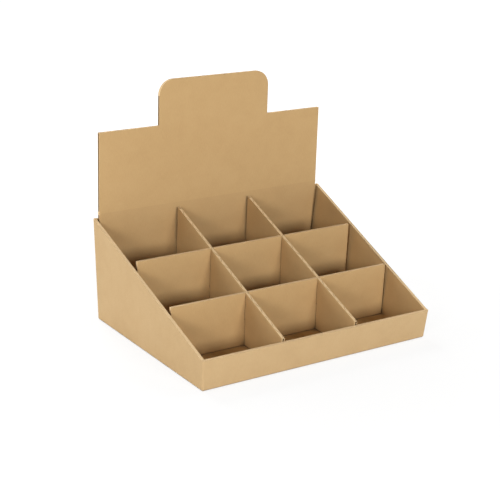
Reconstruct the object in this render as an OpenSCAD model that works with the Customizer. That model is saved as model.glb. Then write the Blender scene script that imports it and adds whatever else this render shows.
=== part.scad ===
// Counter display folded from plain brown corrugated board: a tray whose low front wall and sloped side walls
// lean out a little, and whose back panel rises into a header with a raised, rounded tab.
// A slotted insert of four dividers parts the tray into three rows of three cells.
// Units are mm. +Z is up, the front wall faces -Y, and the origin is the middle of the footprint on the table.

/* [Board] */
// Thickness of the corrugated board
board_t = 3.2; // [2:0.1:5]
// How far the bead along a fold stands out from the panels that meet there
fold_swell = 0.1; // [0.05:0.05:0.3]
// How far a glued flap presses into the panel it lies on
glue_press = 0.2; // [0.1:0.05:0.4]

/* [Tray] */
// Outside width of the tray at the table
base_w = 241.6; // [180:0.1:320]
// Outside depth of the tray at the table, from the front wall to the flaps behind the back panel
tray_d = 182; // [140:1:260]
// Height of the front wall
front_h = 26; // [16:0.5:50]
// Height of the side walls at the rear
rear_h = 98.5; // [70:0.5:140]
// Outward lean of the side walls in degrees
side_lean = 3.2; // [1:0.1:6]
// Outward lean of the front wall in degrees
front_lean = 4.5; // [1:0.1:8]
// Width of the side walls' glue flaps behind the back panel
flap_w = 34; // [20:1:50]
// How far the flaps' inner corners are cut back
flap_taper = 9; // [4:0.5:16]
// Thickness of the flaps, whose flutes are crushed by the gluing
flap_t = 1.8; // [1.2:0.1:4]

/* [Back panel and header] */
// Gap between the back panel's cut edges and the side walls
panel_gap = 1.8; // [1:0.1:5]
// Height of the crease between the back panel and the header, above the top of the side walls
crease_rise = 5; // [2:0.5:12]
// Backward lean of the header in degrees
header_lean = 1; // [0.5:0.1:4]
// Height of the header's shoulders above the crease
shoulder_h = 74.5; // [40:0.5:120]
// Height of the tab above the shoulders
tab_h = 42; // [25:0.5:80]
// Width of the tab
tab_w = 119.5; // [70:0.5:170]
// Radius of the tab's top corners
tab_r = 14.5; // [4:0.5:20]

/* [Dividers] */
// Clear width of the middle column of cells
cell_w = 75.6; // [50:0.1:95]
// Clear depth of the front row of cells at the floor
front_cell_d = 54.4; // [38:0.1:64]
// Clear depth of the middle row of cells
middle_cell_d = 54.8; // [38:0.1:64]
// Height of the dividers' tops above the side walls' top edges
divider_rise = 3.2; // [1:0.1:10]
// Gap between the long dividers' front ends and the front wall
front_gap = 0.4; // [0.3:0.1:4]
// Gap between the long dividers' rear ends and the back panel
rear_gap = 2.2; // [0.3:0.1:4]
// Gap between the cross dividers' ends and the foot of the side walls
side_gap = 0.4; // [0.3:0.1:4]
// Gap on each side of a divider in a slot
slot_gap = 0.4; // [0.2:0.1:1]
// Gap between the ends of two slots that meet
lap_gap = 0.4; // [0.2:0.1:2]
// Gap under the dividers
floor_gap = 0.2; // [0.1:0.05:1]

/* [Hidden] */
$fn = 64;
half_t = board_t / 2;
// Outside radius of a fold, and of the corner where folds meet
fold_r = half_t + fold_swell;
corner_r = fold_r + fold_swell;
// Middle plane of each panel at its fold
fold_x = base_w / 2 - fold_r;
front_y = fold_r - tray_d / 2;
flap_y = tray_d / 2 - fold_r;
// Inner face of the flaps, and the middle plane of the back panel in front of it
flap_in_y = flap_y + half_t - flap_t;
back_y = flap_in_y + glue_press - half_t;
// Inner faces of the floor and the back panel
floor_z = board_t;
back_in_y = back_y - half_t;
// Run of the leaning walls for each millimetre of height
side_run = tan(side_lean);
front_run = tan(front_lean);
// Lean of the fold between a side wall and the front wall, seen square to the side wall
corner_lean = atan(front_run * cos(side_lean));
// Front end of the sloped top edges, and their rise for each millimetre of depth
lip_y = front_y - (front_h - half_t) * front_run - half_t;
top_slope = (rear_h - front_h) / (tray_d / 2 - lip_y);
// Length of a side wall along its lean, with spare length that the sloped cut takes off
wall_len = (rear_h + board_t) / cos(side_lean);
crease_z = rear_h + crease_rise;
// Half the back panel's width at its foot and at the crease
foot_x = wall_in_x(half_t) - panel_gap;
header_x = wall_in_x(crease_z) - panel_gap;
// Places of the dividers' middle planes
long_x = (cell_w + board_t) / 2;
cross_front_y = front_in_y(floor_z) + front_cell_d + half_t;
cross_rear_y = cross_front_y + middle_cell_d + board_t;
divider_z = floor_z + floor_gap;
slot_w = board_t + 2 * slot_gap;
// Overshoot that makes a cut clean
cut = 1;

// Node to show

// Height of the side walls' top edges at depth y
function side_top(y) = front_h + top_slope * (y - lip_y);
// Height of the dividers' tops at depth y
function divider_top(y) = side_top(y) + divider_rise;
// Middle plane and inner face of a side wall at height z
function wall_x(z) = fold_x + (z - half_t) * side_run;
function wall_in_x(z) = wall_x(z) - half_t / cos(side_lean);
// Inner face of the front wall at height z
function front_in_y(z) = front_y - (z - half_t) * front_run + half_t / cos(front_lean);
// Height where the slots of two crossing dividers meet
function lap_z(y) = (floor_z + divider_top(y)) / 2;

// Flat panel of board, drawn in X and Z and centred on the plane y
module upright(y, thickness = board_t) {
    translate([0, y, 0])
        rotate([90, 0, 0])
            linear_extrude(thickness, center = true)
                children();
}

// Flat panel of board, drawn in Y and Z and centred on the plane x
module lengthwise(x) {
    translate([x, 0, 0])
        rotate([90, 0, 90])
            linear_extrude(board_t, center = true)
                children();
}

// Rounded fold of the given length, which starts at the origin and runs up
module fold(length) {
    cylinder(r = fold_r, h = length);
}

// Rounded fold from side to side, of the given half length
module cross_fold(half_length) {
    rotate([0, 90, 0])
        cylinder(r = fold_r, h = 2 * half_length, center = true);
}

module base() {
    translate([0, (front_y + back_y) / 2, half_t])
        cube([2 * fold_x, back_y - front_y, board_t], center = true);
    translate([0, front_y, half_t])
        cross_fold(fold_x);
}

// Front wall, which leans out from its fold
module front_wall() {
    top = (front_h - half_t) / cos(front_lean);
    translate([0, front_y, half_t])
        rotate([front_lean, 0, 0])
            upright(0)
                polygon([
                    [-fold_x, 0],
                    [fold_x, 0],
                    [wall_x(front_h), top],
                    [-wall_x(front_h), top]
                ]);
}

// Left side wall with its folds to the base, the front wall and the glue flap
module side_wall() {
    translate([-fold_x, 0, half_t])
        rotate([0, -side_lean, 0]) {
            lengthwise(0)
                polygon([
                    [front_y, 0],
                    [flap_y, 0],
                    [flap_y, wall_len],
                    [front_y - wall_len * tan(corner_lean), wall_len]
                ]);
            translate([0, front_y, 0])
                rotate([corner_lean, 0, 0])
                    fold(wall_len);
            translate([0, flap_y, 0])
                fold(wall_len);
        }
    translate([-fold_x, front_y, half_t])
        rotate([-90, 0, 0])
            fold(flap_y - front_y);
    for (y = [front_y, flap_y])
        translate([-fold_x, y, half_t])
            sphere(r = corner_r);
}

// Left glue flap behind the back panel
module glue_flap() {
    inner_x = fold_x - flap_w;
    spare_z = rear_h + board_t;
    upright(flap_in_y + flap_t / 2, flap_t)
        polygon([
            [-fold_x, half_t],
            [-wall_x(spare_z), spare_z],
            [-fold_x, rear_h],
            [-inner_x, rear_h - flap_taper],
            [-inner_x, half_t + flap_taper]
        ]);
}

// All that lies above the sloped line of the side walls' top edges
module above_slope() {
    rotate([90, 0, 90])
        linear_extrude(2 * base_w, center = true)
            polygon([
                [-tray_d, side_top(-tray_d)],
                [tray_d, side_top(tray_d)],
                [tray_d, 4 * rear_h],
                [-tray_d, 4 * rear_h]
            ]);
}

// Back panel below the crease, whose edges follow the side walls and stand straight next to its two folds
module back_panel() {
    low = half_t + board_t;
    high = crease_z - board_t;
    upright(back_y)
        polygon([
            [-foot_x, half_t],
            [foot_x, half_t],
            [foot_x, low],
            [header_x, high],
            [header_x, crease_z],
            [-header_x, crease_z],
            [-header_x, high],
            [-foot_x, low]
        ]);
    translate([0, back_y, half_t])
        cross_fold(foot_x + fold_swell);
    translate([0, back_y, crease_z])
        cross_fold(header_x + fold_swell);
}

module header_outline() {
    top = shoulder_h + tab_h;
    half_w = tab_w / 2;
    polygon([
        [-header_x, 0],
        [header_x, 0],
        [header_x, shoulder_h],
        [half_w, shoulder_h],
        [half_w, top - tab_r],
        [half_w - tab_r, top],
        [tab_r - half_w, top],
        [-half_w, top - tab_r],
        [-half_w, shoulder_h],
        [-header_x, shoulder_h]
    ]);
    for (side = [-1, 1])
        translate([side * (half_w - tab_r), top - tab_r])
            circle(r = tab_r);
}

// Upper part of the back panel, which leans back from the crease
module header() {
    translate([0, back_y, crease_z])
        rotate([-header_lean, 0, 0])
            upright(0)
                header_outline();
}

// All that lies under the table
module below_table() {
    translate([-base_w, -tray_d, -2 * corner_r])
        cube([2 * base_w, 2 * tray_d, 2 * corner_r]);
}

// Tray and header, folded from one sheet
module tray() {
    color([0.77, 0.63, 0.43])
        difference() {
            union() {
                difference() {
                    for (flip = [0, 1])
                        mirror([flip, 0, 0]) {
                            side_wall();
                            glue_flap();
                        }
                    above_slope();
                }
                base();
                front_wall();
                back_panel();
                header();
            }
            below_table();
        }
}

// Front-to-back divider with slots in its lower edge and a front end that leans with the front wall
module long_divider(side) {
    front = front_in_y(divider_z) + front_gap;
    front_top = front_in_y(divider_top(front)) + front_gap;
    rear = back_in_y - rear_gap;
    color([0.74, 0.59, 0.40])
        lengthwise(side * long_x)
            difference() {
                polygon([
                    [front, divider_z],
                    [rear, divider_z],
                    [rear, divider_top(rear)],
                    [front_top, divider_top(front_top)]
                ]);
                for (y = [cross_front_y, cross_rear_y])
                    translate([y - slot_w / 2, divider_z - cut])
                        square([slot_w, lap_z(y) + lap_gap / 2 - divider_z + cut]);
            }
}

// Side-to-side divider with slots in its upper edge
module cross_divider(y) {
    end = wall_in_x(floor_z) - side_gap;
    color([0.74, 0.59, 0.40])
        upright(y)
            difference() {
                translate([-end, divider_z])
                    square([2 * end, divider_top(y) - divider_z]);
                for (side = [-1, 1])
                    translate([side * long_x - slot_w / 2, lap_z(y) - lap_gap / 2])
                        square([slot_w, divider_top(y) - lap_z(y) + lap_gap / 2 + cut]);
            }
}

module long_divider_left() {
    long_divider(-1);
}

module long_divider_right() {
    long_divider(1);
}

module cross_divider_front() {
    cross_divider(cross_front_y);
}

module cross_divider_rear() {
    cross_divider(cross_rear_y);
}

tray();
long_divider_left();
long_divider_right();
cross_divider_front();
cross_divider_rear();
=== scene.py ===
"""Looks of the cardboard display stand: corrugated board with liners and flutes, kraft paper, soft studio light."""

import math

import bpy
from mathutils import Matrix, Vector
from mathutils.geometry import delaunay_2d_cdt


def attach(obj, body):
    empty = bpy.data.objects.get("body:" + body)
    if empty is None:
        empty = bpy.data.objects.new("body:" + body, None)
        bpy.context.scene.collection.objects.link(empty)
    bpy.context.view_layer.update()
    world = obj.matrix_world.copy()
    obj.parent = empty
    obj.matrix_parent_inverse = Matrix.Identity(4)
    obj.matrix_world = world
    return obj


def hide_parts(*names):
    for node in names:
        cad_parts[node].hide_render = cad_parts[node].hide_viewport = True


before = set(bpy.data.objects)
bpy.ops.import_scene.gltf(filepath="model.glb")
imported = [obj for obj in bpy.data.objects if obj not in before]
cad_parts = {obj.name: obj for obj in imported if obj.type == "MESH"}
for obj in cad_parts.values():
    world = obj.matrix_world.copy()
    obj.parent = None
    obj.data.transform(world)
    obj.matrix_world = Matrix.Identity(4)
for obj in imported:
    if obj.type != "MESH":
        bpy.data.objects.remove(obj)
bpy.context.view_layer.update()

MM = 0.001
LEFT, RIGHT = -1, 1

# ---- sizes of the part in millimetres, as in its source ----

BOARD_T = 3.2
FOLD_SWELL = 0.1
GLUE_PRESS = 0.2
BASE_W, TRAY_D = 241.6, 182.0
FRONT_H, REAR_H = 26.0, 98.5
SIDE_LEAN, FRONT_LEAN, HEADER_LEAN = math.radians(3.2), math.radians(4.5), math.radians(1.0)
FLAP_W, FLAP_TAPER, FLAP_T = 34.0, 9.0, 1.8
PANEL_GAP, CREASE_RISE = 1.8, 5.0
SHOULDER_H, TAB_H, TAB_W, TAB_R = 74.5, 42.0, 119.5, 14.5
CELL_W, FRONT_CELL_D, MIDDLE_CELL_D = 75.6, 54.4, 54.8
DIVIDER_RISE = 3.2
FRONT_GAP, REAR_GAP, SIDE_GAP, LAP_GAP, FLOOR_GAP = 0.4, 2.2, 0.4, 0.4, 0.2

HALF_T = BOARD_T / 2
FOLD_R = HALF_T + FOLD_SWELL
CORNER_R = FOLD_R + FOLD_SWELL
FOLD_X = BASE_W / 2 - FOLD_R
FRONT_Y = FOLD_R - TRAY_D / 2
FLAP_Y = TRAY_D / 2 - FOLD_R
FLAP_IN_Y = FLAP_Y + HALF_T - FLAP_T
BACK_Y = FLAP_IN_Y + GLUE_PRESS - HALF_T
BACK_IN_Y = BACK_Y - HALF_T
SIDE_RUN, FRONT_RUN = math.tan(SIDE_LEAN), math.tan(FRONT_LEAN)
CORNER_RUN = FRONT_RUN * math.cos(SIDE_LEAN)
LIP_Y = FRONT_Y - (FRONT_H - HALF_T) * FRONT_RUN - HALF_T
TOP_SLOPE = (REAR_H - FRONT_H) / (TRAY_D / 2 - LIP_Y)
CREASE_Z = REAR_H + CREASE_RISE
LONG_X = (CELL_W + BOARD_T) / 2
DIVIDER_Z = BOARD_T + FLOOR_GAP

# ---- what the source leaves out, in millimetres ----

# How the folded sheet has settled: the back panel stands a little to the left, and the right wall's rear end bows out
BACK_SHIFT = -0.45
BOW, BOW_FROM, BOW_TO = 1.6, -45.0, 70.0
# The front wall and the front ends of the side walls stand a little higher than in the source, most on the left
FRONT_LIFT = {LEFT: 2.1, RIGHT: 0.9}
SIDE_LIFT = {LEFT: 0.9, RIGHT: 0.2}
# The slots' cut edges have sprung back and left less play than the source has
SLOT_PLAY = 0.1
SLOT_W = BOARD_T + 2 * SLOT_PLAY
# The top of a glue flap starts a little below the wall's rear corner
FLAP_DROP = 0.4

# Make-up of the board
LINER_T = 0.42
MEDIUM_T = 0.3
MEDIUM_RECESS = 0.2
FLUTE_PITCH = 6.5
ALONG_U, ALONG_V = 0, 1
# Distance in from a cut edge, and how far the cutting rule has pressed the liner in there
EDGE_PROFILE = ((0.0, 0.24), (0.3, 0.10), (0.8, 0.02), (1.3, 0.0))
# A pressed edge runs out this far from a fold, on edges longer than the second length
RUNOUT, RUNOUT_EDGE = 1.4, 4.0
# Kinds of outline edge, and how deep the crushed medium lies in a cut one
FOLD, CUT, OPEN = 0, 1, 2
PLUG_DEPTH = {CUT: 0.1, OPEN: 2.2}
# Shares of that depth: all along the liners, and added unevenly between them
PLUG_RIM, PLUG_UNEVEN = 0.45, 0.35
# Two waves over the sheet, in radians for each millimetre, that make it uneven
FINE_WAVE, COARSE_WAVE = (1.7, 2.3), (0.61, -0.83)

# Fineness of the meshes
GRID, GRID_MARGIN = 11.0, 2.0
RING_STEP = 0.02
PLUG_STEP = 2.5
PLUG_ROWS = (-1.0, -0.5, 0.0, 0.5, 1.0)
STEPS_PER_FLUTE = 10
STRIP_JUMP, STRIP_MIN = 2.5, 1.0
BEAD_STEPS = 40
BALL_RINGS, BALL_SEGMENTS = 12, 24
TAB_STEP_DEG = 6
IN_LINE = 1e-4
SAME_POINT = 1e-5

# One unit of UV in millimetres
UV_UNIT = 100
# Where each panel lies on the roll of paper in millimetres, so that no two show the same patch,
# and where the wave of its medium starts in radians
PAPER = {
    "base": ((500, 0), 0.0),
    "front wall": ((900, 0), 1.1),
    "side wall": {LEFT: ((0, 700), 2.2), RIGHT: ((0, 300), 0.4)},
    "glue flap": {LEFT: ((300, 900), 0.0), RIGHT: ((200, 900), 0.0)},
    "back panel": ((1500, 0), 0.8),
    "header": ((1500 + CREASE_Z, 0), 0.8),
    "long divider": {LEFT: ((1700, -40), 1.9), RIGHT: ((2300, 40), 1.9)},
}
FOLD_PATCH = {
    "front corner": 1300,
    "rear corner": 1320,
    "side foot": 1340,
    "front foot": 1360,
    "back foot": 1380,
    "crease": 1400,
}
# The cross dividers' patches lie further apart than the dividers stand
CROSS_PATCH, CROSS_SPREAD, CROSS_PHASE = 2600, (4, 3), 0.5


def side_top(y):
    """Height of the side walls' top edge."""
    return FRONT_H + TOP_SLOPE * (y - LIP_Y)


def divider_top(y):
    """Height of the dividers' top edge."""
    return side_top(y) + DIVIDER_RISE


def wall_x(z):
    """Middle of the right wall at a height."""
    return FOLD_X + (z - HALF_T) * SIDE_RUN


def wall_in_x(z):
    """Inner face of the right wall at a height."""
    return wall_x(z) - HALF_T / math.cos(SIDE_LEAN)


def front_in_y(z):
    """Inner face of the front wall at a height."""
    return FRONT_Y - (z - HALF_T) * FRONT_RUN + HALF_T / math.cos(FRONT_LEAN)


def lap_z(y):
    """Height at which crossing dividers' slots meet."""
    return (BOARD_T + divider_top(y)) / 2


CROSS_FRONT_Y = front_in_y(BOARD_T) + FRONT_CELL_D + HALF_T
CROSS_REAR_Y = CROSS_FRONT_Y + MIDDLE_CELL_D + BOARD_T
FOOT_X = wall_in_x(HALF_T) - PANEL_GAP
HEADER_X = wall_in_x(CREASE_Z) - PANEL_GAP


def ease(x, lo, hi):
    """Runs smoothly from 0 at lo to 1 at hi."""
    t = min(max((x - lo) / (hi - lo), 0.0), 1.0)
    return t * t * (3 - 2 * t)


def bowed(p):
    """Point of the right wall or its flap, moved out to where the wall's bow takes it."""
    out = BOW * ease(p[1], BOW_FROM, BOW_TO) * ease(p[0], FOLD_X - FLAP_W, FOLD_X) * p[2] / REAR_H
    return Vector((p[0] + out, p[1], p[2]))


# ---- mesh building ----

# The last skin is the inner liner darkened as painted shade, for the back panel below the crease
OUTER, INNER, CORE, EDGE, SHADED_BACK = 0, 1, 2, 3, 4


class Sheet:
    """Collects the mesh of one sheet of board. Points are in millimetres."""

    def __init__(self, name):
        self.name = name
        self.verts, self.faces, self.mats, self.uvs, self.smooth = [], [], [], [], []

    def add(self, points):
        start = len(self.verts)
        self.verts.extend(points)
        return start

    def face(self, ids, mat, uv, smooth=False):
        self.faces.append(ids)
        self.mats.append(mat)
        self.uvs.append(uv)
        self.smooth.append(smooth)

    def build(self, materials):
        mesh = bpy.data.meshes.new(self.name)
        mesh.from_pydata([Vector(p) * MM for p in self.verts], [], self.faces)
        layer = mesh.uv_layers.new(name="board")
        layer.data.foreach_set("uv", [x / UV_UNIT for uv in self.uvs for pair in uv for x in pair])
        mesh.polygons.foreach_set("material_index", self.mats)
        mesh.polygons.foreach_set("use_smooth", self.smooth)
        for m in materials:
            mesh.materials.append(m)
        mesh.update()
        obj = bpy.data.objects.new(self.name, mesh)
        bpy.context.scene.collection.objects.link(obj)
        return obj


# Outlines are lists of (u, v) points, counter-clockwise.

def inside(outline, u, v):
    """Whether a point lies within an outline."""
    hit = False
    for (a, b), (c, d) in zip(outline, outline[1:] + outline[:1]):
        if (b > v) != (d > v) and u < (c - a) * (v - b) / (d - b) + a:
            hit = not hit
    return hit


def inset(outline, dists):
    """Outline moved in by its own distance along each edge."""
    n = len(outline)
    lines = []
    for i in range(n):
        (a, b), (c, d) = outline[i], outline[(i + 1) % n]
        length = math.hypot(c - a, d - b)
        nx, ny = -(d - b) / length, (c - a) / length
        lines.append((nx, ny, nx * a + ny * b + dists[i]))
    moved = []
    for i in range(n):
        (a1, b1, c1), (a2, b2, c2) = lines[i - 1], lines[i]
        det = a1 * b2 - a2 * b1
        if abs(det) < IN_LINE:
            u, v = outline[i]
            moved.append((u + a2 * dists[i], v + b2 * dists[i]))
        else:
            moved.append(((c1 * b2 - c2 * b1) / det, (a1 * c2 - a2 * c1) / det))
    return moved


def mirrored(outline, kinds):
    """Outline and edge kinds of the same panel with u turned round."""
    return [(-u, v) for u, v in reversed(outline)], kinds[-2::-1] + kinds[-1:]


def spans(outline, axis, c):
    """Stretches of the line where coordinate `axis` is c that lie inside the outline."""
    hits = []
    for p, q in zip(outline, outline[1:] + outline[:1]):
        if (p[axis] > c) != (q[axis] > c):
            k = (c - p[axis]) / (q[axis] - p[axis])
            hits.append(p[1 - axis] + k * (q[1 - axis] - p[1 - axis]))
    hits.sort()
    return list(zip(hits[::2], hits[1::2]))


def strip_spans(outline, axis, c0, c1):
    """Pairs of stretches at c0 and c1, between which a strip of medium stays inside the outline."""
    s0, s1 = spans(outline, axis, c0), spans(outline, axis, c1)
    if len(s0) != len(s1):
        s0 = s1 = spans(outline, axis, (c0 + c1) / 2)
    elif any(abs(a[0] - b[0]) > STRIP_JUMP or abs(a[1] - b[1]) > STRIP_JUMP for a, b in zip(s0, s1)):
        s0 = s1 = [(max(a[0], b[0]), min(a[1], b[1])) for a, b in zip(s0, s1)]
    return zip(s0, s1)


def with_runouts(outline, kinds):
    """Adds a point on each cut edge a little way from a fold, so that the pressed edge runs out before the fold."""
    pts, out = [], []
    n = len(outline)
    for i, kind in enumerate(kinds):
        p, q = Vector(outline[i]), Vector(outline[(i + 1) % n])
        pts.append(outline[i])
        if kind != FOLD and (q - p).length > RUNOUT_EDGE:
            step = (q - p).normalized() * RUNOUT
            if kinds[i - 1] == FOLD:
                pts.append(tuple(p + step))
            if kinds[(i + 1) % n] == FOLD:
                pts.append(tuple(q - step))
        out += [kind] * (len(pts) - len(out))
    return pts, out


def edge_rings(outline, kinds):
    """Rings of points from the outline inwards, how far each point is pressed in, and the edges that join them."""
    n = len(outline)
    at_cut = [kinds[i] != FOLD and kinds[i - 1] != FOLD for i in range(n)]
    pts, press, edges = [], [], []
    for k, (dist, dip) in enumerate(EDGE_PROFILE):
        ring = inset(outline, [RING_STEP * k if kind == FOLD else dist for kind in kinds]) if k else outline
        pts += [Vector(p) for p in ring]
        press += [dip if cut else 0.0 for cut in at_cut]
        edges += [(k * n + i, k * n + (i + 1) % n) for i in range(n)]
    return pts, press, edges


def grid_points(outline):
    """Points inside the edge rings that keep a panel's triangles small."""
    us, vs = [p[0] for p in outline], [p[1] for p in outline]
    inner = inset(outline, [EDGE_PROFILE[-1][0] + GRID_MARGIN] * len(outline))
    pts = []
    for i in range(1, int((max(us) - min(us)) / GRID) + 1):
        for j in range(1, int((max(vs) - min(vs)) / GRID) + 1):
            u, v = min(us) + i * GRID, min(vs) + j * GRID
            if inside(inner, u, v):
                pts.append(Vector((u, v)))
    return pts


def facing_up(tri, pts):
    """Corners of a triangle in counter-clockwise order."""
    a, b, c = (pts[k] for k in tri)
    return list(tri) if (b - a).cross(c - a) > 0 else [tri[0], tri[2], tri[1]]


def uneven(at, i):
    """Value from 0 to 1 that changes along the i-th edge of an outline."""
    fine = math.sin(at.x * FINE_WAVE[0] + at.y * FINE_WAVE[1] + i)
    coarse = math.sin(at.x * COARSE_WAVE[0] + at.y * COARSE_WAVE[1] + 2 * i)
    return 0.5 + 0.5 * fine * coarse


class Panel:
    """Flat panel of corrugated board.

    outline: (u, v) points; kinds: FOLD, CUT or OPEN for each edge of it; place(u, v, n): point in space;
    flute: the way the flutes run, ALONG_U or ALONG_V; paper: its entry in PAPER; skins: the liners at +n and -n.
    """

    def __init__(self, outline, kinds, place, flute, paper, skins=(OUTER, INNER), thick=BOARD_T):
        self.outline, self.kinds = with_runouts(outline, kinds)
        self.place, self.flute, self.across = place, flute, 1 - flute
        self.patch, self.phase = paper
        self.skins = skins
        self.half = thick / 2
        self.core = self.half - LINER_T

    def add_to(self, sheet):
        self.add_liners(sheet)
        self.add_crushed_edges(sheet)
        self.add_medium(sheet)

    def add_liners(self, sheet):
        """Two thin plates, pressed in along their cut edges."""
        n = len(self.outline)
        pts, press, edges = edge_rings(self.outline, self.kinds)
        middle = grid_points(self.outline)
        press += [0.0] * len(middle)
        got, _, tris, origin, _, _ = delaunay_2d_cdt(pts + middle, edges, [], 0, SAME_POINT)
        rim, dip = {}, [0.0] * len(got)
        for k, sources in enumerate(origin):
            for q in sources:
                if q < n:
                    rim[q] = k
                dip[k] = max(dip[k], press[q])

        def uv(k):
            return (got[k][self.across] + self.patch[0], got[k][self.flute] + self.patch[1])

        keep = []
        for tri in tris:
            mid = sum((got[k] for k in tri), Vector((0, 0))) / 3
            if inside(self.outline, mid.x, mid.y):
                keep.append(facing_up(tri, got))
        for way, skin in zip((1, -1), self.skins):
            out0 = sheet.add([self.place(p.x, p.y, way * (self.half - dip[k])) for k, p in enumerate(got)])
            in0 = sheet.add([self.place(p.x, p.y, way * (self.core - dip[k])) for k, p in enumerate(got)])
            for tri in keep:
                order = tri[::way]
                sheet.face([out0 + k for k in order], skin, [uv(k) for k in order], True)
                sheet.face([in0 + k for k in order[::-1]], CORE, [uv(k) for k in order[::-1]])
            for i in range(n):
                a, b = rim[i], rim[(i + 1) % n]
                ids = [out0 + a, in0 + a, in0 + b, out0 + b]
                sheet.face(ids[::way], EDGE, [uv(a), uv(a), uv(b), uv(b)][::way])

    def add_crushed_edges(self, sheet):
        """Crushed medium just inside each cut edge."""
        n, per_row = len(self.outline), len(PLUG_ROWS)
        for i, kind in enumerate(self.kinds):
            if kind == FOLD:
                continue
            p, q = Vector(self.outline[i]), Vector(self.outline[(i + 1) % n])
            d = (q - p).normalized()
            inward = Vector((-d.y, d.x))
            count = max(1, int((q - p).length / PLUG_STEP))
            rows = []
            for j in range(count + 1):
                at = p.lerp(q, j / count)
                bulge = PLUG_UNEVEN * uneven(at, i)
                for t in PLUG_ROWS:
                    share = PLUG_RIM + (1 - PLUG_RIM) * (1 - t * t) + bulge * (1 - abs(t))
                    w = at + inward * (PLUG_DEPTH[kind] * share)
                    rows.append(self.place(w.x, w.y, t * self.core))
            start = sheet.add(rows)
            skin = EDGE if kind == CUT else CORE
            for j in range(count):
                u0, u1 = j * PLUG_STEP, (j + 1) * PLUG_STEP
                for t in range(per_row - 1):
                    k = start + per_row * j + t
                    sheet.face([k, k + 1, k + per_row + 1, k + per_row], skin,
                               [(u0, t), (u0, t + 1), (u1, t + 1), (u1, t)], True)

    def add_medium(self, sheet):
        """Fluted medium between the liners, in narrow strips along the flutes."""
        amp = self.core - MEDIUM_T / 2
        lo = min(p[self.across] for p in self.outline) + MEDIUM_RECESS
        wide = max(p[self.across] for p in self.outline) - MEDIUM_RECESS - lo
        count = max(2, math.ceil(wide / (FLUTE_PITCH / STEPS_PER_FLUTE)))
        ticks = [lo + wide * i / count for i in range(count + 1)]

        def wave(c):
            """Height of the medium's middle at c, and half its upright thickness there."""
            turn = 2 * math.pi * c / FLUTE_PITCH + self.phase
            slope = amp * 2 * math.pi / FLUTE_PITCH * math.cos(turn)
            return amp * math.sin(turn), MEDIUM_T / 2 * math.sqrt(1 + slope * slope)

        def at(c, f, z):
            return self.place(f, c, z) if self.flute == ALONG_U else self.place(c, f, z)

        for c0, c1 in zip(ticks, ticks[1:]):
            (z0, h0), (z1, h1) = wave(c0), wave(c1)
            for (a0, b0), (a1, b1) in strip_spans(self.outline, self.across, c0, c1):
                a0, a1, b0, b1 = a0 + MEDIUM_RECESS, a1 + MEDIUM_RECESS, b0 - MEDIUM_RECESS, b1 - MEDIUM_RECESS
                if b0 - a0 < STRIP_MIN or b1 - a1 < STRIP_MIN:
                    continue
                flat = [(c0, a0), (c0, b0), (c1, b1), (c1, a1)]
                tops, lows = (z0 + h0, z0 + h0, z1 + h1, z1 + h1), (z0 - h0, z0 - h0, z1 - h1, z1 - h1)
                k = sheet.add([at(c, f, z) for level in (tops, lows) for (c, f), z in zip(flat, level)])
                for ids in ((0, 1, 2, 3), (7, 6, 5, 4), (0, 3, 7, 4), (1, 5, 6, 2)):
                    sheet.face([k + i for i in ids], CORE, [flat[i % 4] for i in ids])


def bead(sheet, start, end, radius, inward, patch, trim=None):
    """Rounded fold along a line.

    inward: points to the inside of the tray; trim(point, direction): where the sheet's cut ends the fold.
    """
    a, b = Vector(start), Vector(end)
    d = (b - a).normalized()
    x = d.orthogonal().normalized()
    y = d.cross(x)
    rows, skins = [], []
    for i in range(BEAD_STEPS):
        t = 2 * math.pi * i / BEAD_STEPS
        off = (x * math.cos(t) + y * math.sin(t)) * radius
        p = a + off
        q = trim(p, d) if trim else b + off
        p.z, q.z = max(p.z, 0.0), max(q.z, 0.0)
        rows.append((p, q))
        skins.append(INNER if off.dot(Vector(inward)) > 0 else OUTER)
    k = sheet.add([p for row in rows for p in row])
    length = (b - a).length
    for i in range(BEAD_STEPS):
        j = (i + 1) % BEAD_STEPS
        u0, u1 = (patch + 2 * math.pi * radius * step / BEAD_STEPS for step in (i, i + 1))
        sheet.face([k + 2 * i, k + 2 * j, k + 2 * j + 1, k + 2 * i + 1], skins[i],
                   [(u0, 0.0), (u1, 0.0), (u1, length), (u0, length)], True)
    for end_i, order in ((0, -1), (1, 1)):
        cap = sheet.add([row[end_i] for row in rows][::order])
        sheet.face(list(range(cap, cap + BEAD_STEPS)), EDGE, [(0.0, 0.0)] * BEAD_STEPS)


def ball(sheet, centre, radius):
    """Rounded corner where three folds meet."""
    pts = []
    for r in range(BALL_RINGS + 1):
        lat = math.pi * r / BALL_RINGS - math.pi / 2
        for s in range(BALL_SEGMENTS):
            lon = 2 * math.pi * s / BALL_SEGMENTS
            out = Vector((math.cos(lat) * math.cos(lon), math.cos(lat) * math.sin(lon), math.sin(lat)))
            p = Vector(centre) + out * radius
            p.z = max(p.z, 0.0)
            pts.append(p)
    k = sheet.add(pts)
    for r in range(BALL_RINGS):
        low, high = k + r * BALL_SEGMENTS, k + (r + 1) * BALL_SEGMENTS
        for s in range(BALL_SEGMENTS):
            t = (s + 1) % BALL_SEGMENTS
            sheet.face([low + s, low + t, high + t, high + s], OUTER, [(r, s), (r, t), (r + 1, t), (r + 1, s)], True)


# ---- the tray with its header: one folded sheet ----

def add_base(sheet):
    outline = [(-FOLD_X, FRONT_Y), (FOLD_X, FRONT_Y), (FOLD_X, BACK_Y), (-FOLD_X, BACK_Y)]
    Panel(outline, [FOLD, FOLD, CUT, FOLD], lambda u, v, n: Vector((u, v, HALF_T + n)), ALONG_U, PAPER["base"],
          skins=(INNER, OUTER)).add_to(sheet)


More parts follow.
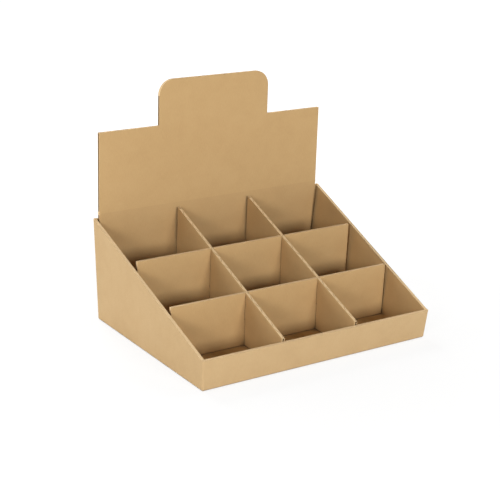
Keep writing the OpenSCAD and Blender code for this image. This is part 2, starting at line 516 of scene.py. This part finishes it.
def add_front_wall(sheet):
    top = (FRONT_H - HALF_T) / math.cos(FRONT_LEAN)
    end = wall_x(FRONT_H)
    foot = Vector((0, FRONT_Y, HALF_T))
    up = Vector((0, -math.sin(FRONT_LEAN), math.cos(FRONT_LEAN)))
    out = Vector((0, -math.cos(FRONT_LEAN), -math.sin(FRONT_LEAN)))
    outline = [(-FOLD_X, 0), (FOLD_X, 0), (end, top + FRONT_LIFT[RIGHT]), (-end, top + FRONT_LIFT[LEFT])]
    Panel(outline, [FOLD, FOLD, CUT, FOLD], lambda u, v, n: foot + Vector((u, 0, 0)) + up * v + out * n, ALONG_U,
          PAPER["front wall"]).add_to(sheet)


def add_side_wall(sheet, side, root, rise):
    away = Vector((side * math.cos(SIDE_LEAN), 0, -math.sin(SIDE_LEAN)))
    c = math.cos(SIDE_LEAN)
    rear = (side_top(FLAP_Y) - HALF_T) / c
    front = (side_top(FRONT_Y) - HALF_T) / (c + TOP_SLOPE * CORNER_RUN) + SIDE_LIFT[side]
    outline = [(FRONT_Y, 0), (FLAP_Y, 0), (FLAP_Y, rear), (FRONT_Y - front * CORNER_RUN, front)]
    kinds = [FOLD, FOLD, CUT, FOLD]
    # Seen from outside, u runs to the rear on the right and to the front on the left
    if side == LEFT:
        outline, kinds = mirrored(outline, kinds)
    Panel(outline, kinds, lambda u, v, n: root + Vector((0, side * u, 0)) + rise * v + away * n, ALONG_V,
          PAPER["side wall"][side]).add_to(sheet)


def add_side_folds(sheet, side, root, rise):
    """Folds from a side wall to the front wall, the glue flap and the base."""
    front, rear = root + Vector((0, FRONT_Y, 0)), root + Vector((0, FLAP_Y, 0))
    lean = (rise + Vector((0, -CORNER_RUN, 0))).normalized()

    def to_front_top(p, d):
        return p + d * ((FRONT_H + FRONT_LIFT[side] - p.z) / d.z)

    def to_slope(p, d):
        return p + d * ((side_top(p.y) - p.z) / (d.z - TOP_SLOPE * d.y))

    bead(sheet, front, front + lean * REAR_H, FOLD_R, (-side, 1, 0), FOLD_PATCH["front corner"], to_front_top)
    bead(sheet, rear, rear + rise * REAR_H, FOLD_R, (-side, -1, 0), FOLD_PATCH["rear corner"], to_slope)
    bead(sheet, front, rear, FOLD_R, (-side, 0, 1), FOLD_PATCH["side foot"])
    for corner in (front, rear):
        ball(sheet, corner, CORNER_R)


def add_glue_flap(sheet, side):
    """Flap of a side wall, stuck to the back panel from behind."""
    inner_x = FOLD_X - FLAP_W
    top = side_top(FLAP_Y + HALF_T)
    y = FLAP_IN_Y + FLAP_T / 2
    outline = [(FOLD_X, HALF_T), (wall_x(top), top), (FOLD_X, REAR_H - FLAP_DROP),
               (inner_x, REAR_H - FLAP_TAPER), (inner_x, HALF_T + FLAP_TAPER)]
    kinds = [FOLD, CUT, CUT, CUT, CUT]
    # Seen from behind, u runs to the left
    if side == RIGHT:
        outline, kinds = mirrored(outline, kinds)
    Panel(outline, kinds, lambda u, v, n: Vector((-u, y + n, v)), ALONG_V, PAPER["glue flap"][side],
          thick=FLAP_T).add_to(sheet)


def add_side(sheet, side):
    """Side wall with its folds and glue flap."""
    start = len(sheet.verts)
    root = Vector((side * FOLD_X, 0, HALF_T))
    rise = Vector((side * math.sin(SIDE_LEAN), 0, math.cos(SIDE_LEAN)))
    add_side_wall(sheet, side, root, rise)
    add_side_folds(sheet, side, root, rise)
    add_glue_flap(sheet, side)
    if side == RIGHT:
        sheet.verts[start:] = [bowed(p) for p in sheet.verts[start:]]


def add_back_panel(sheet):
    """Back panel up to the crease, with the fold at its foot and the crease."""
    low, high = HALF_T + BOARD_T, CREASE_Z - BOARD_T
    outline = [(-FOOT_X, HALF_T), (FOOT_X, HALF_T), (FOOT_X, low), (HEADER_X, high),
               (HEADER_X, CREASE_Z), (-HEADER_X, CREASE_Z), (-HEADER_X, high), (-FOOT_X, low)]
    kinds = [FOLD, OPEN, OPEN, OPEN] * 2
    # Its face towards the cells takes the darker copy of the inner liner: painted shade below the crease
    Panel(outline, kinds, lambda u, v, n: Vector((u + BACK_SHIFT, BACK_Y - n, v)), ALONG_U, PAPER["back panel"],
          skins=(SHADED_BACK, OUTER)).add_to(sheet)
    bead(sheet, (BACK_SHIFT - FOOT_X, BACK_Y, HALF_T), (BACK_SHIFT + FOOT_X, BACK_Y, HALF_T), FOLD_R, (0, -1, 1),
         FOLD_PATCH["back foot"])
    bead(sheet, (BACK_SHIFT - HEADER_X, BACK_Y, CREASE_Z), (BACK_SHIFT + HEADER_X, BACK_Y, CREASE_Z), HALF_T,
         (0, -1, 0), FOLD_PATCH["crease"])


def add_header(sheet):
    """Header above the crease, with its shoulders and round-cornered tab."""
    half, top = TAB_W / 2, SHOULDER_H + TAB_H
    turns = [math.radians(a) for a in range(0, 91, TAB_STEP_DEG)]
    right = [(half - TAB_R + TAB_R * math.cos(t), top - TAB_R + TAB_R * math.sin(t)) for t in turns]
    left = [(-u, v) for u, v in reversed(right)]
    outline = [(-HEADER_X, 0), (HEADER_X, 0), (HEADER_X, SHOULDER_H), (half, SHOULDER_H)]
    outline += right + left + [(-half, SHOULDER_H), (-HEADER_X, SHOULDER_H)]
    kinds = [FOLD, OPEN, CUT, OPEN] + [CUT] * (len(right + left) - 1) + [OPEN, CUT, OPEN]
    crease = Vector((BACK_SHIFT, BACK_Y, CREASE_Z))
    up = Vector((0, math.sin(HEADER_LEAN), math.cos(HEADER_LEAN)))
    out = Vector((0, -math.cos(HEADER_LEAN), math.sin(HEADER_LEAN)))
    Panel(outline, kinds, lambda u, v, n: crease + Vector((u, 0, 0)) + up * v + out * n, ALONG_U, PAPER["header"],
          skins=(INNER, OUTER)).add_to(sheet)


def make_tray():
    sheet = Sheet("tray_sheet")
    add_base(sheet)
    add_front_wall(sheet)
    for side in (LEFT, RIGHT):
        add_side(sheet, side)
    bead(sheet, (-FOLD_X, FRONT_Y, HALF_T), (FOLD_X, FRONT_Y, HALF_T), FOLD_R, (0, 1, 1), FOLD_PATCH["front foot"])
    add_back_panel(sheet)
    add_header(sheet)
    return sheet


# ---- the dividers ----

def make_long_divider(side, name):
    """Front-to-back divider, slotted from below."""
    sheet = Sheet(name)
    front = front_in_y(DIVIDER_Z) + FRONT_GAP
    front_top = front_in_y(divider_top(front)) + FRONT_GAP
    rear = BACK_IN_Y - REAR_GAP
    outline = [(front, DIVIDER_Z)]
    for y in (CROSS_FRONT_Y, CROSS_REAR_Y):
        roof = lap_z(y) + LAP_GAP / 2
        near, far = y - SLOT_W / 2, y + SLOT_W / 2
        outline += [(near, DIVIDER_Z), (near, roof), (far, roof), (far, DIVIDER_Z)]
    outline += [(rear, DIVIDER_Z), (rear, divider_top(rear)), (front_top, divider_top(front_top))]
    kinds = [CUT] * (len(outline) - 3) + [OPEN, CUT, OPEN]
    Panel(outline, kinds, lambda u, v, n: Vector((side * LONG_X + n, u, v)), ALONG_U, PAPER["long divider"][side],
          skins=(INNER, INNER)).add_to(sheet)
    return sheet


def make_cross_divider(y, name):
    """Side-to-side divider, slotted from above."""
    sheet = Sheet(name)
    end = wall_in_x(BOARD_T) - SIDE_GAP
    top = divider_top(y)
    bottom = lap_z(y) - LAP_GAP / 2
    outline = [(-end, DIVIDER_Z), (end, DIVIDER_Z), (end, top)]
    for x in (LONG_X, -LONG_X):
        near, far = x + SLOT_W / 2, x - SLOT_W / 2
        outline += [(near, top), (near, bottom), (far, bottom), (far, top)]
    outline.append((-end, top))
    patch = (CROSS_PATCH + CROSS_SPREAD[0] * y, CROSS_SPREAD[1] * y)
    Panel(outline, [CUT] * len(outline), lambda u, v, n: Vector((u, y - n, v)), ALONG_U, (patch, CROSS_PHASE),
          skins=(INNER, INNER)).add_to(sheet)
    return sheet


# ---- materials ----

# Painted shade in narrow gaps: how far to look for other board, in metres, how much is dimmed there,
# and the shares of open space between which that runs out
GAP_REACH, GAP_DIM, GAP_RANGE, GAP_SAMPLES = 0.012, 0.85, (0.1, 0.45), 12
# Sum of the textures' tones at which the dark or light colour has its largest share, and that share
TONE_RANGE, TONE_SHARE = 1.4, 0.5
# Noise between which the dark flecks come in, and their share
FLECK_RANGE, FLECK_SHARE = (0.71, 0.78), 0.5


def srgb(r, g, b):
    def one(c):
        c /= 255
        return c / 12.92 if c <= 0.04045 else ((c + 0.055) / 1.055) ** 2.4
    return (one(r), one(g), one(b), 1.0)


def feed(tree, socket, x):
    """Sets a socket to a number or colour, or links it to another node's output."""
    if isinstance(x, (int, float, tuple)):
        socket.default_value = x
    else:
        tree.links.new(x, socket)


def new_material(name):
    """Material with an empty node tree, and the socket for its surface."""
    mat = bpy.data.materials.new(name)
    mat.use_nodes = True
    tree = mat.node_tree
    tree.nodes.clear()
    return mat, tree, tree.nodes.new("ShaderNodeOutputMaterial").inputs["Surface"]


def noise(tree, vector, scale=1.0, detail=3.0, rough=0.55):
    n = tree.nodes.new("ShaderNodeTexNoise")
    for socket, x in (("Vector", vector), ("Scale", scale), ("Detail", detail), ("Roughness", rough)):
        feed(tree, n.inputs[socket], x)
    return n.outputs["Fac"]


def ramp(tree, fac, lo, hi, a, b):
    """Runs from a to b while fac runs from lo to hi."""
    r = tree.nodes.new("ShaderNodeMapRange")
    for socket, x in (("Value", fac), ("From Min", lo), ("From Max", hi), ("To Min", a), ("To Max", b)):
        feed(tree, r.inputs[socket], x)
    return r.outputs["Result"]


def swing(tree, fac, spread, amount):
    """A noise's swing about its middle, as a tone from -amount to amount."""
    return ramp(tree, fac, 0.5 - spread, 0.5 + spread, -amount, amount)


def maths(tree, op, a, b=0.0):
    m = tree.nodes.new("ShaderNodeMath")
    m.operation = op
    feed(tree, m.inputs[0], a)
    feed(tree, m.inputs[1], b)
    return m.outputs[0]


def weighted(tree, first, *others):
    """Sum of textures, each given with its weight."""
    total = maths(tree, "MULTIPLY", *first)
    for part in others:
        total = maths(tree, "ADD", total, maths(tree, "MULTIPLY", *part))
    return total


def mix(tree, fac, a, b, blend="MIX"):
    m = tree.nodes.new("ShaderNodeMix")
    m.data_type = "RGBA"
    m.blend_type = blend
    colours = [i for i in m.inputs if i.type == "RGBA"]
    for socket, x in zip([m.inputs[0]] + colours, (fac, a, b)):
        feed(tree, socket, x)
    return [o for o in m.outputs if o.type == "RGBA"][0]


def mix_shaders(tree, fac, first, second, out):
    """Blends from the first shader to the second as fac goes from 0 to 1."""
    blend = tree.nodes.new("ShaderNodeMixShader")
    for socket, x in zip(blend.inputs, (fac, first.outputs[0], second.outputs[0])):
        tree.links.new(x, socket)
    tree.links.new(blend.outputs[0], out)


def split_xyz(tree, vector):
    split = tree.nodes.new("ShaderNodeSeparateXYZ")
    tree.links.new(vector, split.inputs[0])
    return split.outputs


def board_coords(tree):
    """Coordinates on the sheet: across the flutes, then along them."""
    uv = tree.nodes.new("ShaderNodeUVMap")
    uv.uv_map = "board"
    return uv.outputs["UV"]


def object_coords(tree):
    return tree.nodes.new("ShaderNodeTexCoord").outputs["Object"]


def stretched(tree, vector, sx, sy):
    m = tree.nodes.new("ShaderNodeMapping")
    m.inputs["Scale"].default_value = (sx, sy, 1.0)
    tree.links.new(vector, m.inputs["Vector"])
    return m.outputs[0]


def paint_gap_shade(tree, colour):
    """Paints shade into the colour in narrow gaps between boards, where little light gets in; open corners keep
    theirs.
    """
    near = tree.nodes.new("ShaderNodeAmbientOcclusion")
    near.samples = GAP_SAMPLES
    near.inputs["Distance"].default_value = GAP_REACH
    return mix(tree, 1.0, colour, ramp(tree, near.outputs["AO"], *GAP_RANGE, 1.0 - GAP_DIM, 1.0), "MULTIPLY")


def paper_shader(tree, out, colour, roughness, gloss, height, strength, distance):
    """Matt paper with a fine relief; distance is the relief's depth in metres."""
    bump = tree.nodes.new("ShaderNodeBump")
    bump.inputs["Strength"].default_value = strength
    bump.inputs["Distance"].default_value = distance
    tree.links.new(height, bump.inputs["Height"])
    shader = tree.nodes.new("ShaderNodeBsdfPrincipled")
    feed(tree, shader.inputs["Base Color"], colour)
    feed(tree, shader.inputs["Roughness"], roughness)
    feed(tree, shader.inputs["Specular IOR Level"], gloss)
    feed(tree, shader.inputs["Normal"], bump.outputs[0])
    tree.links.new(shader.outputs[0], out)


def kraft(name, base, dark, light, gaps=True):
    """Brown kraft liner: mottled pulp, fibres, dark flecks and flutes that show through faintly, and painted shade in
    narrow gaps when gaps is on.
    """
    mat, tree, out = new_material(name)
    uv, obj = board_coords(tree), object_coords(tree)
    cloud = noise(tree, obj, scale=22.0, detail=4.0)
    blotch = noise(tree, obj, scale=90.0, detail=3.0)
    fibre = noise(tree, stretched(tree, uv, 26.0, 190.0), detail=4.0, rough=0.6)
    grain = noise(tree, stretched(tree, uv, 330.0, 700.0), detail=3.0, rough=0.65)
    flecks = noise(tree, stretched(tree, uv, 60.0, 240.0), detail=1.0, rough=0.4)
    # Each texture's share of the tone, and how far its noise spreads about the middle
    tone = swing(tree, cloud, spread=0.2, amount=0.22)
    for texture, spread, amount in ((blotch, 0.2, 0.16), (fibre, 0.25, 0.5), (grain, 0.25, 0.4)):
        tone = maths(tree, "ADD", tone, swing(tree, texture, spread, amount))
    colour = mix(tree, ramp(tree, tone, 0.0, -TONE_RANGE, 0.0, TONE_SHARE), base, dark)
    colour = mix(tree, ramp(tree, tone, 0.0, TONE_RANGE, 0.0, TONE_SHARE), colour, light)
    colour = mix(tree, ramp(tree, flecks, *FLECK_RANGE, 0.0, FLECK_SHARE), colour, dark)
    # Painted shade in narrow gaps between boards
    if gaps:
        colour = paint_gap_shade(tree, colour)
    turn = maths(tree, "MULTIPLY", split_xyz(tree, uv)["X"], 2 * math.pi * UV_UNIT / FLUTE_PITCH)
    height = weighted(tree, (maths(tree, "SINE", turn), 0.28), (fibre, 0.9), (grain, 0.35))
    roughness = ramp(tree, grain, 0.2, 0.8, 0.78, 0.92)
    paper_shader(tree, out, colour, roughness, gloss=0.25, height=height, strength=0.35, distance=0.00012)
    return mat


def raw_paper(name, base, dark, scale, gaps=False):
    """Fluted medium, liner backs and cut edges: rough, fibrous paper, with painted shade in narrow gaps when gaps is
    on.
    """
    mat, tree, out = new_material(name)
    fuzz = noise(tree, object_coords(tree), scale, detail=4.0, rough=0.65)
    fibre = noise(tree, stretched(tree, board_coords(tree), 90.0, 420.0), detail=3.0, rough=0.6)
    tone = maths(tree, "ADD", ramp(tree, fuzz, 0.3, 0.7, 0.0, 0.6), ramp(tree, fibre, 0.3, 0.7, 0.0, 0.4))
    colour = mix(tree, tone, base, dark)
    # Painted shade in narrow gaps between boards
    if gaps:
        colour = paint_gap_shade(tree, colour)
    paper_shader(tree, out, colour, roughness=0.92, gloss=0.15, height=fuzz, strength=0.5, distance=0.0001)
    return mat


finish = {
    OUTER: kraft("outer_liner", srgb(194, 164, 121), srgb(169, 137, 95), srgb(209, 183, 143), gaps=False),
    INNER: kraft("inner_liner", srgb(191, 157, 109), srgb(165, 130, 84), srgb(206, 175, 129)),
    # Darker copy of the inner liner for the back panel below the crease: painted shade for the step in light at the
    # crease
    SHADED_BACK: kraft("back_liner_painted_shade", srgb(187, 153, 106), srgb(162, 127, 82), srgb(202, 171, 126)),
    CORE: raw_paper("fluted_medium", srgb(179, 147, 105), srgb(141, 111, 73), 900.0),
    # Cut edges: paler than the liners as crushed fibre is, and paler still as painted light, for top edges that the
    # low lamps hardly light from above
    EDGE: raw_paper("cut_edge_painted_light", srgb(233, 204, 161), srgb(212, 180, 134), 1500.0, gaps=True),
}

made = {
    "tray": (make_tray(), "tray_board"),
    "long_divider_left": (make_long_divider(LEFT, "long_divider_left_board"), "divider_board"),
    "long_divider_right": (make_long_divider(RIGHT, "long_divider_right_board"), "divider_board"),
    "cross_divider_front": (make_cross_divider(CROSS_FRONT_Y, "cross_divider_front_board"), "divider_board"),
    "cross_divider_rear": (make_cross_divider(CROSS_REAR_Y, "cross_divider_rear_board"), "divider_board"),
}
for node, (sheet, slot) in made.items():
    piece = sheet.build([finish[skin] for skin in sorted(finish)])
    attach(piece, "root")
    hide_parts(node)

# ---- floor, light and camera, in metres ----

FLOOR_SIZE, FLOOR_DROP = 12, 0.0003
FLOOR_COLOUR = (0.86, 0.86, 0.85, 1)
# Strength of the floor's white near the object and far from it, between two distances
GLOW_FROM, GLOW_TO, GLOW_NEAR, GLOW_FAR = 0.22, 0.6, 1.06, 1.26
# Share of that white in what the eye sees; the rest is the lit floor
GLOW_SHARE = 0.8
# How far inside the tray's footprint the floor stops looking white, in millimetres
UNDER = 0.8

AIR_COLOUR, AIR_STRENGTH = (1.0, 0.99, 0.97, 1), 0.02

# Soft boxes around the stand: name, azimuth and elevation in degrees, width and height in metres, watts
SOFT_BOXES = (
    ("left", -116, 12, 0.9, 0.9, 11.4),
    ("front_left", -57, 13, 0.5, 0.4, 10.0),
    ("front", 3, 14, 0.55, 0.4, 15.3),
    ("right", 86, 40, 0.9, 0.9, 8.0),
    ("rear", 180, 35, 0.9, 0.9, 21.0),
)
BOX_DIST, BOX_CENTRE, BOX_AIM = 1.6, Vector((0, 0, 0.14)), Vector((0, 0, 0.08))

# Camera of the photograph, found from the object's corners: degrees, millimetres and pixels
AZIMUTH, ELEVATION, ROLL = -34.946, 19.1, 2.424
CAMERA_DIST, TARGET = 1202.65, Vector((-15.208, 0.0, 78.471))
FOCAL_PX, PICTURE_PX, SENSOR_W = 1335.7, 500, 36.0
CLIP_END = 50


def toward(azimuth, elevation):
    """Direction from the object, with azimuth 0 in front of it."""
    az, el = math.radians(azimuth), math.radians(elevation)
    return Vector((math.sin(az) * math.cos(el), -math.cos(az) * math.cos(el), math.sin(el)))


def seen_directly(tree):
    """1 for rays that show a surface, 0 for rays that gather light from it."""
    path = tree.nodes.new("ShaderNodeLightPath")
    seen = maths(tree, "MAXIMUM", path.outputs["Is Camera Ray"], path.outputs["Is Glossy Ray"])
    return maths(tree, "MAXIMUM", seen, path.outputs["Is Transmission Ray"])


def beside_tray(tree, position):
    """1 for points of the floor beside the tray, 0 for points under it."""
    shares = []
    for axis, size in (("X", BASE_W), ("Y", TRAY_D)):
        dist = maths(tree, "ABSOLUTE", split_xyz(tree, position)[axis])
        shares.append(maths(tree, "DIVIDE", dist, (size / 2 - UNDER) * MM))
    return maths(tree, "GREATER_THAN", maths(tree, "MAXIMUM", *shares), 1.0)


def floor_material():
    """Pale floor, white to the eye beside the object.

    Part of the lit floor shows there, so that the object's shadow stays, faint as in the photograph.
    """
    mat, tree, out = new_material("pale_floor")
    position = tree.nodes.new("ShaderNodeNewGeometry").outputs["Position"]
    diffuse = tree.nodes.new("ShaderNodeBsdfDiffuse")
    diffuse.inputs["Color"].default_value = FLOOR_COLOUR
    away = tree.nodes.new("ShaderNodeVectorMath")
    away.operation = "LENGTH"
    tree.links.new(position, away.inputs[0])
    glow = tree.nodes.new("ShaderNodeEmission")
    strength = ramp(tree, away.outputs["Value"], GLOW_FROM, GLOW_TO, GLOW_NEAR, GLOW_FAR)
    tree.links.new(strength, glow.inputs["Strength"])
    white = maths(tree, "MULTIPLY", seen_directly(tree), beside_tray(tree, position))
    mix_shaders(tree, maths(tree, "MULTIPLY", white, GLOW_SHARE), diffuse, glow, out)
    return mat


def make_floor():
    bpy.ops.mesh.primitive_plane_add(size=FLOOR_SIZE, location=(0, 0, -FLOOR_DROP))
    plane = bpy.context.active_object
    plane.name = "floor"
    plane.data.materials.append(floor_material())
    return plane


def make_world():
    """White to the eye, and a faint even light on the object."""
    world = bpy.data.worlds.new("studio")
    bpy.context.scene.world = world
    world.use_nodes = True
    tree = world.node_tree
    tree.nodes.clear()
    air, white = (tree.nodes.new("ShaderNodeBackground") for _ in range(2))
    air.inputs["Color"].default_value = AIR_COLOUR
    air.inputs["Strength"].default_value = AIR_STRENGTH
    white.inputs["Color"].default_value = (1, 1, 1, 1)
    mix_shaders(tree, seen_directly(tree), air, white, tree.nodes.new("ShaderNodeOutputWorld").inputs["Surface"])


def make_soft_box(name, azimuth, elevation, wide, tall, power):
    data = bpy.data.lights.new(name, "AREA")
    data.shape = "RECTANGLE"
    data.size, data.size_y = wide, tall
    data.energy = power
    box = bpy.data.objects.new(name, data)
    bpy.context.scene.collection.objects.link(box)
    box.location = toward(azimuth, elevation) * BOX_DIST + BOX_CENTRE
    box.rotation_euler = (BOX_AIM - box.location).to_track_quat("-Z", "Y").to_euler()


def make_camera():
    data = bpy.data.cameras.new("camera")
    data.sensor_width = SENSOR_W
    data.lens = FOCAL_PX / PICTURE_PX * SENSOR_W
    data.clip_end = CLIP_END
    back = toward(AZIMUTH, ELEVATION)
    right = toward(AZIMUTH + 90, 0)
    above = back.cross(right)
    roll = math.radians(ROLL)
    x = right * math.cos(roll) + above * math.sin(roll)
    y = above * math.cos(roll) - right * math.sin(roll)
    place = (TARGET + back * CAMERA_DIST) * MM
    cam = bpy.data.objects.new("camera", data)
    bpy.context.scene.collection.objects.link(cam)
    cam.matrix_world = Matrix.Translation(place) @ Matrix((x, y, back)).transposed().to_4x4()
    bpy.context.scene.camera = cam


floor = make_floor()
make_world()
for soft_box in SOFT_BOXES:
    make_soft_box(*soft_box)
make_camera()
bpy.context.scene.view_settings.view_transform = "Standard"
